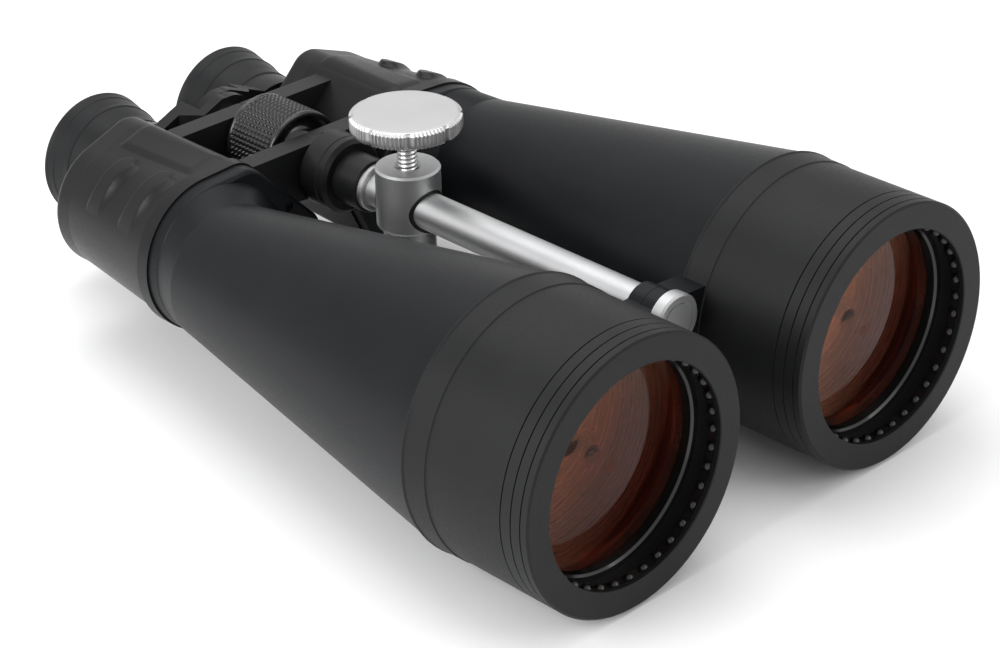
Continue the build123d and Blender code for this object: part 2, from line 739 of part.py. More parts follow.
def make_rod_cap():
    """End cap of the rod, with a turned groove on its face."""
    with BuildPart() as cap:
        disc(0, HINGE_Z, CAP_R, CAP_AT, ROD_AT)
        chamfer(cap.edges().group_by(Axis.Y)[0], BEVEL)
        with BuildSketch(across(CAP_AT)):
            with Locations((0, HINGE_Z)):
                Circle(CAP_GROOVE_R + EDGE)
                Circle(CAP_GROOVE_R - EDGE, mode=Mode.SUBTRACT)
        extrude(amount=-BEVEL, mode=Mode.SUBTRACT)
    save(cap, "rod_cap")


def make_rod_ring():
    """Bright clamp ring where the rod meets the hinge."""
    with BuildPart() as ring:
        turn(0, HINGE_Z, (
            (ROD_R + FIT, ROD_BACK - ROD_RING_LENGTH),
            (ROD_RING_R - EDGE, ROD_BACK - ROD_RING_LENGTH),
            (ROD_RING_R, ROD_BACK - ROD_RING_LENGTH + EDGE),
            (ROD_RING_R, ROD_BACK),
            (ROD_R + FIT, ROD_BACK),
        ))
    save(ring, "rod_ring")


def make_hinge_shaft():
    """Hollow shaft on which both halves and the focus wheel turn."""
    with BuildPart() as shaft:
        disc(0, HINGE_Z, SHAFT_R, ROD_BACK, SHAFT_BACK)
        drill(0, HINGE_Z, SPINDLE_R + FIT, SHAFT_BORE_AT, SHAFT_BACK)
    save(shaft, "hinge_shaft")


def make_tension_collar():
    """Small black collar that sets how stiffly the halves turn."""
    with BuildPart() as collar:
        turn(0, HINGE_Z, (
            (SHAFT_R + FIT, ROD_BACK),
            (COLLAR_R - EDGE, ROD_BACK),
            (COLLAR_R, ROD_BACK + EDGE),
            (COLLAR_R, COLLAR_BACK),
            (SHAFT_R + FIT, COLLAR_BACK),
        ))
    save(collar, "tension_collar")


def make_hinge_barrel():
    """Large black barrel in front of the hinge arms, stepped and bevelled at its front."""
    back = FRONT_ARM_AT - GAP
    with BuildPart() as barrel:
        turn(0, HINGE_Z, (
            (SHAFT_R + FIT, COLLAR_BACK),
            (HINGE_BARREL_R - 2 * BEVEL, COLLAR_BACK),
            (HINGE_BARREL_R, COLLAR_BACK + 2 * BEVEL),
            (HINGE_BARREL_R, HINGE_GROOVE_AT - EDGE),
            (HINGE_BARREL_R - EDGE, HINGE_GROOVE_AT),
            (HINGE_BARREL_R, HINGE_GROOVE_AT + EDGE),
            (HINGE_BARREL_R, back - BEVEL),
            (HINGE_BARREL_R - BEVEL, back),
            (SHAFT_R + FIT, back),
        ))
    save(barrel, "hinge_barrel")


def make_focus_wheel():
    """Knurled focusing wheel between the hinge arms, with a dished front face."""
    hub_at = FRONT_ARM_AT + 2 * ARM_HUB_LENGTH + 2 * GAP
    with BuildPart() as wheel:
        turn(0, HINGE_Z, (
            (SHAFT_R + FIT, hub_at),
            (WHEEL_HUB_R, hub_at),
            (WHEEL_HUB_R, WHEEL_AT + WHEEL_DISH),
            (WHEEL_RIM_R, WHEEL_AT + WHEEL_DISH),
            (WHEEL_RIM_R + WHEEL_EDGE, WHEEL_AT),
            (WHEEL_R - WHEEL_EDGE, WHEEL_AT),
            (WHEEL_R, WHEEL_AT + WHEEL_EDGE),
            (WHEEL_R, WHEEL_BACK - WHEEL_EDGE),
            (WHEEL_R - WHEEL_EDGE, WHEEL_BACK),
            (SHAFT_R + FIT, WHEEL_BACK),
        ))
        middle = Plane(origin=(0, FRONT_Y + (WHEEL_AT + WHEEL_BACK) / 2, HINGE_Z), z_dir=(0, 1, 0))
        rib_length = WHEEL_BACK - WHEEL_AT - 6 * WHEEL_EDGE
        with Locations(middle):
            with PolarLocations(WHEEL_R, WHEEL_RIBS):
                Box(RIB_GAP_DEPTH, RIB_GAP_WIDTH, rib_length, mode=Mode.SUBTRACT)
    save(wheel, "focus_wheel")


def make_focus_spindle():
    """Sliding spindle with the collar that carries the eyepiece bridge."""
    collar_back = CARRIAGE_HUB_AT - GAP
    with BuildPart() as spindle:
        disc(0, HINGE_Z, SPINDLE_R, SPINDLE_AT, SPINDLE_BACK)
        disc(0, HINGE_Z, SPINDLE_COLLAR_R, collar_back - SPINDLE_COLLAR_LENGTH, collar_back)
    save(spindle, "focus_spindle")


def make_bridge_cap():
    """Domed nut that closes the bridge behind its two hubs."""
    start = CARRIAGE_HUB_AT + 2 * CARRIAGE_HUB_LENGTH + 2 * GAP
    with BuildPart() as cap:
        turn(0, HINGE_Z, (
            (SPINDLE_R + FIT, start),
            (BRIDGE_CAP_R, start),
            (BRIDGE_CAP_R, start + BRIDGE_CAP_LENGTH / 2),
            (BRIDGE_CAP_R - 2 * BEVEL, start + BRIDGE_CAP_LENGTH - BEVEL),
            (SPINDLE_R + FIT, start + BRIDGE_CAP_LENGTH),
        ))
    save(cap, "bridge_cap")


# ------------------------------------------------------------------ tripod clamp
def clamp_level(height):
    """Horizontal plane at the clamp, a height above the optical axes."""
    return Plane(origin=(0, FRONT_Y + CLAMP_AT, AXIS_Z + height))


def make_clamp_block():
    """Upright cylinder bored across for the rod and down its axis for the thumbscrew."""
    with BuildPart() as block:
        with BuildSketch(clamp_level(CLAMP_BOTTOM)):
            Circle(CLAMP_R)
        extrude(amount=CLAMP_TOP - CLAMP_BOTTOM)
        fillet(block.edges().group_by(Axis.Z)[0], 2 * BEVEL)
        chamfer(block.edges().group_by(Axis.Z)[-1], BEVEL)
        drill(0, HINGE_Z, LINER_R + FIT, CLAMP_AT - CLAMP_R, CLAMP_AT + CLAMP_R)
        with BuildSketch(clamp_level(HINGE_RISE)):
            Circle(STUD_R + FIT)
        extrude(amount=CLAMP_TOP - HINGE_RISE, mode=Mode.SUBTRACT)
        with Locations(clamp_level(CLAMP_TOP)):
            Cone(STUD_R, STUD_R + STUD_LEAD_IN, STUD_LEAD_IN,
                 align=(Align.CENTER, Align.CENTER, Align.MAX), mode=Mode.SUBTRACT)
    save(block, "clamp_block")


def make_clamp_post():
    """Round post below the block with the tripod thread in its foot."""
    with BuildPart() as post:
        with BuildSketch(clamp_level(POST_BOTTOM)):
            Circle(POST_R)
        extrude(amount=CLAMP_BOTTOM - POST_BOTTOM)
        chamfer(post.edges().group_by(Axis.Z)[0], BEVEL)
        with BuildSketch(clamp_level(POST_BOTTOM)):
            Circle(TRIPOD_THREAD_R)
        extrude(amount=TRIPOD_THREAD_LENGTH, mode=Mode.SUBTRACT)
    save(post, "clamp_post")


def make_clamp_liner():
    """Thin black sleeve between the rod and the clamp block, its ends following the block."""
    with BuildPart() as liner:
        with BuildSketch(clamp_level(0)):
            Circle(CLAMP_R + LINER_PROUD)
        extrude(amount=2 * HINGE_RISE)
        tube = hull_sketch(CLAMP_AT - 2 * CLAMP_R, [(0, HINGE_Z, LINER_R)])
        extrude(tube, amount=-4 * CLAMP_R, mode=Mode.INTERSECT)
        drill(0, HINGE_Z, ROD_R + FIT, CLAMP_AT - 2 * CLAMP_R, CLAMP_AT + 2 * CLAMP_R)
    save(liner, "clamp_liner")


def make_pressure_pad():
    """Small pad under the thumbscrew that bears on the liner."""
    with BuildPart() as pad:
        with BuildSketch(clamp_level(HINGE_RISE + LINER_R + GAP)):
            Circle(STUD_R - FIT)
        extrude(amount=PAD_HEIGHT)
    save(pad, "pressure_pad")


def make_clamp_stud():
    """Threaded stud of the thumbscrew, with the collar under the knob."""
    foot = HINGE_RISE + LINER_R + GAP + PAD_HEIGHT + FIT
    with BuildPart() as stud:
        with BuildSketch(clamp_level(foot)):
            Circle(STUD_R)
        extrude(amount=KNOB_BOTTOM - foot)
        with BuildSketch(clamp_level(KNOB_BOTTOM - STUD_COLLAR_HEIGHT)):
            Circle(STUD_COLLAR_R)
        extrude(amount=STUD_COLLAR_HEIGHT)
    save(stud, "clamp_stud")


def make_clamp_knob():
    """Large flat knob whose rim is broken by rounded notches between fluted runs."""
    with BuildPart() as knob:
        with BuildSketch(clamp_level(KNOB_BOTTOM)):
            Circle(KNOB_R)
            with PolarLocations(KNOB_R + KNOB_NOTCH_OFFSET, KNOB_NOTCHES):
                Circle(KNOB_NOTCH_R, mode=Mode.SUBTRACT)
        extrude(amount=KNOB_TOP - KNOB_BOTTOM)
        chamfer(knob.edges().group_by(Axis.Z)[-1], BEVEL)
        chamfer(knob.edges().group_by(Axis.Z)[0], EDGE)
    save(knob, "clamp_knob")


def make_half(side, name):
    """Every piece of one half, from the bell back to the prism housing."""
    x = side * OBJECTIVE_X
    start, middle, end = beam_points()
    make_bell(side, name)
    make_bead_ring(side, name)
    make_lock_ring(side, name)
    make_cell(side, name)
    make_lens(x, AXIS_Z, LENS_R, *CROWN_FACES, f"{name}_crown_lens")
    make_lens(x, AXIS_Z, LENS_R, *FLINT_FACES, f"{name}_flint_lens")
    make_barrel(side, name)
    make_baffle(side, name)
    make_front_plate(side, name)
    make_casting(side, name)
    make_armour(side, name)
    make_shelf(side, name)
    make_prism(side, start, middle, SHELF_AT + SHELF_THICK, 1, f"{name}_rear_prism")
    make_prism(side, middle, end, SHELF_AT, -1, f"{name}_front_prism")
    make_clips(side, name)
    make_rear_cover(side, name)
    make_housing_screws(side, name)


def make_eyepiece(side, name):
    """Every piece of one eyepiece."""
    x = side * EYEPIECE_X
    make_bridge_arm(side, name)
    make_ocular_tube(side, name)
    make_lens(x, EYE_Z, FIELD_GLASS_R, *FIELD_FACES, f"{name}_field_lens")
    make_lens(x, EYE_Z, EYE_GLASS_R, *EYE_FACES, f"{name}_eye_lens")
    make_eyecup(side, name)


for half_side, half_name in ((-1, "right"), (1, "left")):
    make_half(half_side, half_name)
    make_eyepiece(half_side, half_name)
make_diopter_ring()

make_centre_rod()
make_rod_cap()
make_rod_ring()
make_hinge_shaft()
make_tension_collar()
make_hinge_barrel()
make_focus_wheel()
make_focus_spindle()
make_bridge_cap()
make_clamp_block()
make_clamp_post()
make_clamp_liner()
make_pressure_pad()
make_clamp_stud()
make_clamp_knob()
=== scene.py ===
import json
from math import cos, floor, pi, radians, sin, tau

import bpy
from mathutils import Matrix, Vector
from mathutils.bvhtree import BVHTree

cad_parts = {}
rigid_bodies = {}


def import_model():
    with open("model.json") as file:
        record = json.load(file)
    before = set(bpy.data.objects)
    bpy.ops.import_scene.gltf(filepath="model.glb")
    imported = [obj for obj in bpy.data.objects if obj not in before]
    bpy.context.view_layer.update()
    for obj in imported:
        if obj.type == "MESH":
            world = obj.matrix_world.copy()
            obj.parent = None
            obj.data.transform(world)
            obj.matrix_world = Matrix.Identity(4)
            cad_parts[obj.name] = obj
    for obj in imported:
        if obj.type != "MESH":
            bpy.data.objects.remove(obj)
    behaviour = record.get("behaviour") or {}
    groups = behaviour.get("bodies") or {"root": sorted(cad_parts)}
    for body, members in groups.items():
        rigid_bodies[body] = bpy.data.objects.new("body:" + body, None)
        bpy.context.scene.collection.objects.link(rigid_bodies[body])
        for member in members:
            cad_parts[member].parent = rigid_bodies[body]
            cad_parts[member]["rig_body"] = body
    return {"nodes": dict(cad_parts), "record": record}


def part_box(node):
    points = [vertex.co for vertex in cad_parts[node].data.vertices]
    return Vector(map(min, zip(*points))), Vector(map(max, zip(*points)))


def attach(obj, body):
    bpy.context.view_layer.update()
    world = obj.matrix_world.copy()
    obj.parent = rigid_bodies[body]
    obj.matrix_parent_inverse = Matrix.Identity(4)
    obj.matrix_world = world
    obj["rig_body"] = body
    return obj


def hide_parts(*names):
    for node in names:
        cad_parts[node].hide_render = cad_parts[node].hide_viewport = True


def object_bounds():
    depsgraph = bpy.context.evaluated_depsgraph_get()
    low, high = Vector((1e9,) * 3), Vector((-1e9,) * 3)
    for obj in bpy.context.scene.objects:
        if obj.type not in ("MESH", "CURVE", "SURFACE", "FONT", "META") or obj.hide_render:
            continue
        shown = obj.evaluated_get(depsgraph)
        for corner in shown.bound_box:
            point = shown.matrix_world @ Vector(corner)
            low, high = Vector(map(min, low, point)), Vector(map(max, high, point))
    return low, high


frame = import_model()
cad_box = [[float(value) for value in corner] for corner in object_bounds()]

MM = 0.001
SIDES = ((-1, "right"), (1, "left"))


# ------------------------------------------------------------------ camera
TARGET = Vector((-0.0593, -0.0980, 0.0805))
DISTANCE = 0.9715
AZIMUTH = radians(-43.6)
ELEVATION = radians(28.36)
ROLL = radians(-1.22)
FOCAL_LENGTH = 100.41
SENSOR_WIDTH = 36.0


def add_camera():
    """Camera at the front right and above, aimed between the two bells."""
    back = Vector((sin(AZIMUTH) * cos(ELEVATION), -cos(AZIMUTH) * cos(ELEVATION), sin(ELEVATION)))
    right = Vector((cos(AZIMUTH), sin(AZIMUTH), 0))
    up = back.cross(right)
    rolled_right = cos(ROLL) * right + sin(ROLL) * up
    rolled_up = cos(ROLL) * up - sin(ROLL) * right
    turn = Matrix((rolled_right, rolled_up, back)).transposed()
    data = bpy.data.cameras.new("camera")
    data.lens = FOCAL_LENGTH
    data.sensor_width = SENSOR_WIDTH
    camera = bpy.data.objects.new("camera", data)
    camera.matrix_world = Matrix.Translation(TARGET + back * DISTANCE) @ turn.to_4x4()
    bpy.context.scene.collection.objects.link(camera)
    bpy.context.scene.camera = camera


# ------------------------------------------------------------------ materials
BLUE_INTO_GREEN = 1 / 3
CLOUD_SCALE = 45.0
CLOUD_DETAIL = 3.0
GRAIN_DETAIL = 2.0
EDGE_PATCH_SCALE = 160.0
EDGE_PATCH_SHARE = (0.15, 0.9)
DUST_SCALE = 500.0
DUST_SPREAD = (0.5, 1.5)
NOISE_MIDDLE = (0.3, 0.7)
EDGE_TURN = (0.97, 0.75)
EDGE_SAMPLES = 4
COAT_ROUGHNESS = 0.12
BUMP_STRENGTH = 0.6
FACING_BLEND = 0.6


def grey(value, blue=0.0):
    """A neutral colour, with a little more blue when asked."""
    return (value, value * (1 + blue * BLUE_INTO_GREEN), value * (1 + blue), 1.0)


def add_noise(tree, coords, scale, detail=CLOUD_DETAIL):
    """A noise texture node fed by object coordinates."""
    noise = tree.nodes.new("ShaderNodeTexNoise")
    noise.inputs["Scale"].default_value = scale
    noise.inputs["Detail"].default_value = detail
    tree.links.new(coords.outputs["Object"], noise.inputs["Vector"])
    return noise


def add_range(tree, source, low, high):
    """Maps the middle of a 0..1 value to low..high."""
    spread = tree.nodes.new("ShaderNodeMapRange")
    spread.inputs["From Min"].default_value = NOISE_MIDDLE[0]
    spread.inputs["From Max"].default_value = NOISE_MIDDLE[1]
    spread.inputs["To Min"].default_value = low
    spread.inputs["To Max"].default_value = high
    tree.links.new(source, spread.inputs["Value"])
    return spread


def edge_mask(tree, width):
    """1 on rounded-off outer edges and 0 on flat surfaces, from how far the bevelled normal turns."""
    bevel = tree.nodes.new("ShaderNodeBevel")
    bevel.samples = EDGE_SAMPLES
    bevel.inputs["Radius"].default_value = width
    geometry = tree.nodes.new("ShaderNodeNewGeometry")
    dot = tree.nodes.new("ShaderNodeVectorMath")
    dot.operation = "DOT_PRODUCT"
    tree.links.new(bevel.outputs["Normal"], dot.inputs[0])
    tree.links.new(geometry.outputs["Normal"], dot.inputs[1])
    mask = tree.nodes.new("ShaderNodeMapRange")
    mask.inputs["From Min"].default_value = EDGE_TURN[0]
    mask.inputs["From Max"].default_value = EDGE_TURN[1]
    tree.links.new(dot.outputs["Value"], mask.inputs["Value"])
    return mask.outputs["Result"]


def mix_colour(tree, factor, first, second):
    """Mix two colours, each a plain value or a socket, by a factor socket."""
    mix = tree.nodes.new("ShaderNodeMix")
    mix.data_type = "RGBA"
    tree.links.new(factor, mix.inputs["Factor"])
    for socket, colour in (("A", first), ("B", second)):
        target = next(s for s in mix.inputs if s.name == socket and s.type == "RGBA")
        if isinstance(colour, bpy.types.NodeSocket):
            tree.links.new(colour, target)
        else:
            target.default_value = colour
    return next(s for s in mix.outputs if s.type == "RGBA")


def finish_surface(name, colour, roughness, metal=0.0, gloss=0.5, grain=1400.0, depth=0.02,
                   mottle=0.12, spread=0.06, edge_wear_and_highlight=None, edge_wear_and_highlight_width=0.5 * MM, coat=0.0, stretch=None):
    """A procedural finish: mottled colour, uneven roughness, a fine bump and lighter edge patches: worn
    edges on most finishes, a painted highlight on the baffle ridges and the wheel pads.
    """
    material = bpy.data.materials.new(name)
    material.use_nodes = True
    tree = material.node_tree
    shader = tree.nodes["Principled BSDF"]
    shader.inputs["Metallic"].default_value = metal
    shader.inputs["Coat Weight"].default_value = coat
    shader.inputs["Coat Roughness"].default_value = COAT_ROUGHNESS
    shader.inputs["Specular IOR Level"].default_value = gloss
    coords = tree.nodes.new("ShaderNodeTexCoord")
    cloud = add_noise(tree, coords, CLOUD_SCALE)
    light = tuple(c * (1 + mottle) for c in colour[:3]) + (1.0,)
    dark = tuple(c * (1 - mottle) for c in colour[:3]) + (1.0,)
    tint = mix_colour(tree, add_range(tree, cloud.outputs["Fac"], 0, 1).outputs["Result"], dark, light)
    fine = add_noise(tree, coords, grain, GRAIN_DETAIL)
    if stretch:
        mapping = tree.nodes.new("ShaderNodeMapping")
        mapping.inputs["Scale"].default_value = stretch
        tree.links.new(coords.outputs["Object"], mapping.inputs["Vector"])
        tree.links.new(mapping.outputs["Vector"], fine.inputs["Vector"])
    rough = add_range(tree, fine.outputs["Fac"], roughness - spread, roughness + spread)
    # Lighter colour on rounded edges in noise patches: edge wear on most finishes, a painted highlight on
    # the baffle ridges and the wheel pads.
    if edge_wear_and_highlight:
        mask = edge_mask(tree, edge_wear_and_highlight_width)
        wear_and_highlight_share = tree.nodes.new("ShaderNodeMath")
        wear_and_highlight_share.operation = "MULTIPLY"
        patches = add_range(tree, add_noise(tree, coords, EDGE_PATCH_SCALE).outputs["Fac"], *EDGE_PATCH_SHARE)
        tree.links.new(mask, wear_and_highlight_share.inputs[0])
        tree.links.new(patches.outputs["Result"], wear_and_highlight_share.inputs[1])
        tint = mix_colour(tree, wear_and_highlight_share.outputs["Value"], tint, edge_wear_and_highlight)
    bump = tree.nodes.new("ShaderNodeBump")
    bump.inputs["Strength"].default_value = BUMP_STRENGTH
    bump.inputs["Distance"].default_value = depth * MM
    tree.links.new(fine.outputs["Fac"], bump.inputs["Height"])
    tree.links.new(tint, shader.inputs["Base Color"])
    tree.links.new(rough.outputs["Result"], shader.inputs["Roughness"])
    tree.links.new(bump.outputs["Normal"], shader.inputs["Normal"])
    return material


def glass(name, edge_colour, face_colour, tint, ior, shine=0.5, roughness=0.02):
    """Coated glass: its colour shifts with the viewing angle, its reflection is tinted, and it has dust."""
    material = bpy.data.materials.new(name)
    material.use_nodes = True
    tree = material.node_tree
    shader = tree.nodes["Principled BSDF"]
    shader.inputs["Transmission Weight"].default_value = 1.0
    shader.inputs["IOR"].default_value = ior
    shader.inputs["Specular IOR Level"].default_value = shine
    shader.inputs["Specular Tint"].default_value = tint
    coords = tree.nodes.new("ShaderNodeTexCoord")
    dust = add_noise(tree, coords, DUST_SCALE)
    rough = add_range(tree, dust.outputs["Fac"], roughness * DUST_SPREAD[0], roughness * DUST_SPREAD[1])
    facing = tree.nodes.new("ShaderNodeLayerWeight")
    facing.inputs["Blend"].default_value = FACING_BLEND
    colour = mix_colour(tree, facing.outputs["Facing"], face_colour, edge_colour)
    tree.links.new(colour, shader.inputs["Base Color"])
    tree.links.new(rough.outputs["Result"], shader.inputs["Roughness"])
    return material


RUBBER_WEAR = grey(0.022)
PAINT_WEAR = grey(0.035)
LATHE_LINES = (0.15, 6.0, 0.15)
WHITE = (1.0, 1.0, 1.0, 1.0)
FAINT_GREEN = (0.97, 1.0, 0.98, 1.0)

SURFACES = {
    "bell_rubber": dict(colour=grey(0.0075, 0.12), roughness=0.48, gloss=0.19, depth=0.05,
                        edge_wear_and_highlight=RUBBER_WEAR),
    "barrel_coat": dict(colour=grey(0.004, 0.45), roughness=0.4, gloss=0.16, grain=1900.0,
                        depth=0.03, edge_wear_and_highlight=PAINT_WEAR),
    "armour_rubber": dict(colour=grey(0.006, 0.1), roughness=0.36, gloss=0.22, depth=0.05,
                          edge_wear_and_highlight=RUBBER_WEAR),
    "black_metal": dict(colour=grey(0.007, 0.1), roughness=0.38, gloss=0.24, depth=0.03,
                        edge_wear_and_highlight=PAINT_WEAR),
    "trim_black": dict(colour=grey(0.006), roughness=0.2, gloss=0.45, depth=0.01, spread=0.04),
    "gloss_black": dict(colour=grey(0.005), roughness=0.14, gloss=0.4, depth=0.008, spread=0.03,
                        coat=0.3),
    "inner_black": dict(colour=grey(0.007), roughness=0.45, gloss=0.25, depth=0.03),
    # The baffle's edge colour is a painted highlight: bright lines along the ridge crests.
    "baffle_plastic": dict(colour=grey(0.03), roughness=0.25, depth=0.01,
                           edge_wear_and_highlight=(1.0, 0.85, 0.85, 1.0), edge_wear_and_highlight_width=0.6 * MM),
    "black_screw": dict(colour=grey(0.02), roughness=0.3, metal=1.0, depth=0.01, edge_wear_and_highlight=grey(0.1)),
    "spring_steel": dict(colour=grey(0.5), roughness=0.3, metal=1.0, depth=0.01,
                         stretch=LATHE_LINES),
    "screw_steel": dict(colour=grey(0.58), roughness=0.3, metal=1.0, depth=0.01, edge_wear_and_highlight=grey(0.75)),
    "eyecup_rubber": dict(colour=grey(0.008, 0.15), roughness=0.44, gloss=0.2, depth=0.04,
                          edge_wear_and_highlight=RUBBER_WEAR),
    # The wheel's edge colour is a painted highlight on the pad edges and the front rim.
    "knurled_black": dict(colour=grey(0.008), roughness=0.22, gloss=0.62, edge_wear_and_highlight=grey(0.16),
                          edge_wear_and_highlight_width=0.3 * MM),
    "satin_aluminium": dict(colour=grey(0.5, 0.015), roughness=0.46, metal=1.0, grain=2600.0,
                            depth=0.05, mottle=0.05, edge_wear_and_highlight=grey(0.8)),
    "knob_aluminium": dict(colour=grey(0.6), roughness=0.4, metal=1.0, grain=2400.0, depth=0.025,
                           mottle=0.03, edge_wear_and_highlight=grey(0.82)),
    "liner_nylon": dict(colour=grey(0.008), roughness=0.4, gloss=0.3),
    "pad_brass": dict(colour=(0.66, 0.48, 0.2, 1.0), roughness=0.3, metal=1.0),
}
GLASSES = {
    "coated_glass": dict(edge_colour=(0.86, 0.62, 0.3, 1.0), face_colour=(0.78, 0.36, 0.3, 1.0),
                         tint=(0.3, 0.08, 0.05, 1.0), ior=1.36, shine=0.22),
    "eye_glass": dict(edge_colour=(0.7, 0.8, 1.0, 1.0), face_colour=(0.5, 0.6, 1.0, 1.0),
                      tint=(0.35, 0.4, 1.0, 1.0), ior=1.6),
    "prism_glass": dict(edge_colour=FAINT_GREEN, face_colour=FAINT_GREEN, tint=WHITE, ior=1.57),
}
FINISHES = {name: finish_surface(name, **settings) for name, settings in SURFACES.items()}
FINISHES.update({name: glass(name, **settings) for name, settings in GLASSES.items()})
SLOT_OF = {part["node"]: part["material_slot"] for part in frame["record"]["subparts"]}
FINISH_OF = {**SLOT_OF, "right_housing_screws": "black_screw", "left_housing_screws": "black_screw"}


def dress(node):
    """Give a CAD node the finish of its material slot, or black where its steel is blackened."""
    thing = frame["nodes"][node]
    thing.data.materials.clear()
    thing.data.materials.append(FINISHES[FINISH_OF[node]])


# ------------------------------------------------------------------ detailed pieces
# In a profile table, each row is (in from the outer radius, in from the nearer face), in mm.
WHEEL_WIDTH = 27.0 * MM
WHEEL_RIM = 2.4 * MM
WHEEL_ROWS = 10
WHEEL_PADS = 52
WHEEL_DEPTH = 1.2 * MM
WHEEL_DISH = 3.0 * MM
WHEEL_BORE = 6.6 * MM
WHEEL_HUB = 9.5 * MM
WHEEL_FACE = ((3.6, 3.0), (2.6, 0.3), (1.9, 0.0))
WHEEL_EDGE = ((0.9, 0.0), (0.3, 0.2), (0.1, 0.9))
WHEEL_STEP = 0.1 * MM
WHEEL_BAND_GAP = 0.3 * MM
KNURL_SAMPLES = 8
KNURL_PAD = (0.3, 0.9)
KNURL_SHIFT = 0.01
KNOB_RUNS = 8
KNOB_FLUTES = 8
KNOB_HOLLOW = 0.24
KNOB_HOLLOW_DEPTH = 1.1 * MM
KNOB_HOLLOW_ROUNDING = 0.6
KNOB_FLUTE_DEPTH = 0.75 * MM
KNOB_STEPS = 90
KNOB_CENTRE = 0.4 * MM
KNOB_SEAT = 4.2 * MM
KNOB_TOP = ((3.4, 0.0), (2.2, 0.05), (1.5, 0.15))
KNOB_TOP_FLUTED = ((0.7, 0.5), (0.2, 0.9), (0.0, 1.3))
KNOB_FLANK = (1.6 * MM, 1.1 * MM)
KNOB_FLANK_ROWS = 4
KNOB_BOTTOM_FLUTED = ((0.2, 0.5), (0.8, 0.0))
KNOB_BOTTOM = ((2.2, 0.0),)
STUD_RADIUS = 3.95 * MM
STUD_CENTRE = 0.2 * MM
STUD_COLLAR = 1.6 * MM
STUD_CHAMFER = (0.5 * MM, 0.4 * MM)
STUD_STEPS = 64
THREAD_PITCH = 1.75 * MM
THREAD_DEPTH = 0.5 * MM
THREAD_SAMPLES = 8
HOUSING_X = 60.5 * MM
HOUSING_Z = 53.0 * MM
PAD_REACH = 60.0 * MM
PAD_SINK = 0.12 * MM
PAD_CAP = 0.16
PAD_CRISP = 0.3
PAD_SOFT = 0.9
PAD_TURN = 0.3
PAD_LEAN = 5.0 * MM
PAD_FADE = 0.75
PAD_COLUMNS = 90
PAD_ROWS = 28
FINGER_STATIONS = (("rear", 23.5, 9.0), ("front", 46.5, 32.0))
FINGER_ANGLES = (82, 16)
FINGER_HEIGHT = 2.2 * MM
STRIP_STATIONS = (52.6, 4.0)
STRIP_ANGLES = (122, 85)
STRIP_HEIGHT = 1.2 * MM
STRIP_INNER_EASE = 0.3
STRIP_OUTER_EASE = 0.24
STRIP_FRONT_EASE = 0.1
STRIP_REAR_EASE = 0.04


def new_piece(name, points, faces, node):
    """A mesh piece that takes a CAD node's finish and rides on that node's body."""
    mesh = bpy.data.meshes.new(name)
    mesh.from_pydata(points, [], faces)
    mesh.validate()
    mesh.polygons.foreach_set("use_smooth", [True] * len(mesh.polygons))
    piece = bpy.data.objects.new(name, mesh)
    bpy.context.scene.collection.objects.link(piece)
    mesh.materials.append(FINISHES[SLOT_OF[node]])
    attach(piece, frame["nodes"][node]["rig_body"])
    return piece


def lathe(name, node, axis, origin, profile, steps, relief):
    """Turned piece from (radius, along, textured) rings; relief(angle, along) moves textured ones."""
    side = Vector((1, 0, 0))
    other = axis.cross(side)
    points = []
    for radius, along, textured in profile:
        for i in range(steps):
            angle = tau * i / steps
            reach = radius + (relief(angle, along) if textured else 0.0)
            points.append(origin + axis * along + reach * (cos(angle) * side + sin(angle) * other))
    faces = []
    for ring in range(len(profile) - 1):
        for i in range(steps):
            a = ring * steps + i
            b = ring * steps + (i + 1) % steps
            faces.append((a, b, b + steps, a + steps))
    if profile[0] != profile[-1]:
        faces.append(tuple(reversed(range(steps))))
        faces.append(tuple(range(len(points) - steps, len(points))))
    return new_piece(name, points, faces, node)


def edge_rings(radius, face, inward, table, textured=False):
    """Profile rings of a table, from an outer radius and a face, going inward from that face."""
    return [(radius - inset * MM, face + inward * depth * MM, textured) for inset, depth in table]


def frange(start, stop, count):
    """count + 1 evenly spaced values from start to stop."""
    return [start + (stop - start) * i / count for i in range(count + 1)]


def pulse(phase, low, high):
    """1 while the fraction of a phase lies between low and high."""
    return 1.0 if low < phase - floor(phase) < high else 0.0


def make_wheel():
    """Focus wheel with rows of small square pads, plain rims and a dished front face."""
    low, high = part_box("focus_wheel")
    radius = (high[0] - low[0]) / 2
    hub = Vector(((low[0] + high[0]) / 2, 0, (low[2] + high[2]) / 2))
    front = high[1] - WHEEL_WIDTH
    band_front = front + WHEEL_RIM
    band_back = high[1] - WHEEL_RIM
    across = (band_back - band_front) / WHEEL_ROWS

    def relief(angle, along):
        around = pulse(angle / tau * WHEEL_PADS + KNURL_SHIFT, *KNURL_PAD)
        row = pulse((along - band_front) / across + KNURL_SHIFT, *KNURL_PAD)
        return 0.0 if around and row else -WHEEL_DEPTH

    profile = [
        (WHEEL_BORE, low[1], False),
        (WHEEL_HUB, low[1], False),
        (WHEEL_HUB, front + WHEEL_DISH, False),
    ]
    profile += edge_rings(radius, front, 1, WHEEL_FACE + WHEEL_EDGE)
    profile.append((radius - WHEEL_STEP, band_front - WHEEL_BAND_GAP, False))
    profile += [(radius, y, True) for y in frange(band_front, band_back, WHEEL_ROWS * KNURL_SAMPLES)]
    profile.append((radius - WHEEL_STEP, band_back + WHEEL_BAND_GAP, False))
    profile += edge_rings(radius, high[1], -1, WHEEL_EDGE[::-1])
    profile += [(WHEEL_BORE, high[1], False), (WHEEL_BORE, low[1], False)]
    wheel = lathe("focus_wheel_knurled", "focus_wheel", Vector((0, 1, 0)), hub, profile,
                  WHEEL_PADS * KNURL_SAMPLES, relief)
    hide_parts("focus_wheel")


